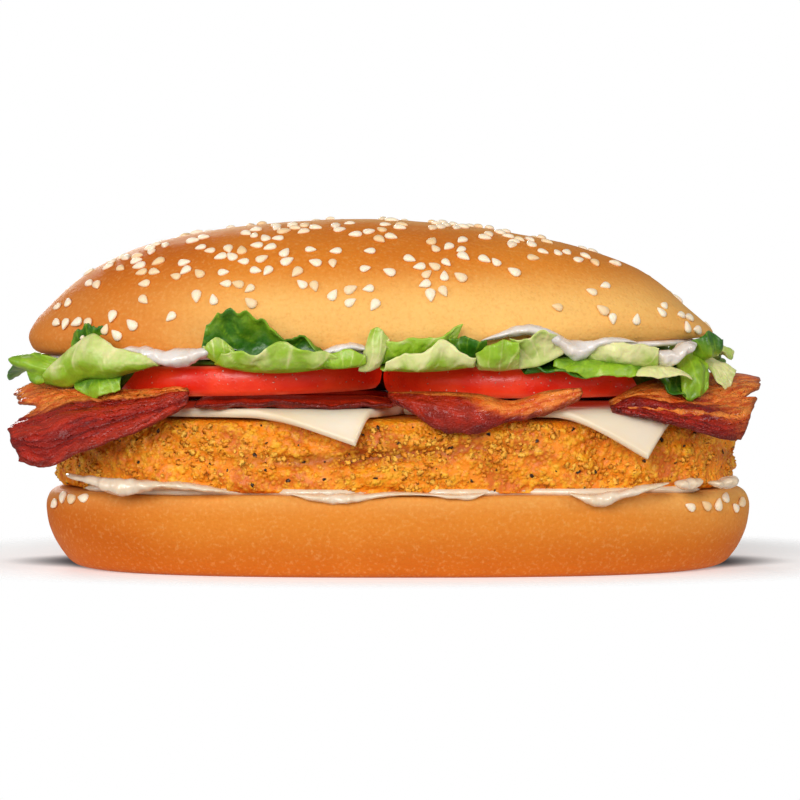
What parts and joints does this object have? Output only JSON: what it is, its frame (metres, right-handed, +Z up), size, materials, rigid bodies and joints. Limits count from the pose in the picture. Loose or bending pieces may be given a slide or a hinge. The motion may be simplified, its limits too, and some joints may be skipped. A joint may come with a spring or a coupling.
{
  "type": "chicken burger",
  "caption": "Long sesame bun sandwich with a breaded chicken patty, cheese, bacon, tomato, lettuce and white sauce, standing on its flat base.",
  "frame": {"origin": "middle of the flat underside of the lower bun half", "axes": "+X along the bun, -Y towards the side it is served from, +Z up"},
  "size_m": [0.1904, 0.1022, 0.0894],
  "materials": {
    "crust": "baked, satin",
    "sauce": "wet, glossy",
    "breading": "crisp, rough, slightly oily",
    "cheese": "smooth, satin",
    "bacon": "fried, glossy",
    "tomato": "wet skin, glossy",
    "lettuce": "fresh, waxy"
  },
  "bodies": {
    "root": {"bun_heel": "crust", "sauce_lower": "sauce", "chicken_patty": "breading", "cheese_left": "cheese", "cheese_right": "cheese", "bacon_left": "bacon", "bacon_mid_left": "bacon", "bacon_mid_right": "bacon", "bacon_right": "bacon", "bacon_back_left": "bacon", "bacon_back_right": "bacon", "tomato_left": "tomato", "tomato_right": "tomato", "lettuce": "lettuce", "sauce_upper": "sauce", "bun_crown": "crust"}
  },
  "joints": []
}
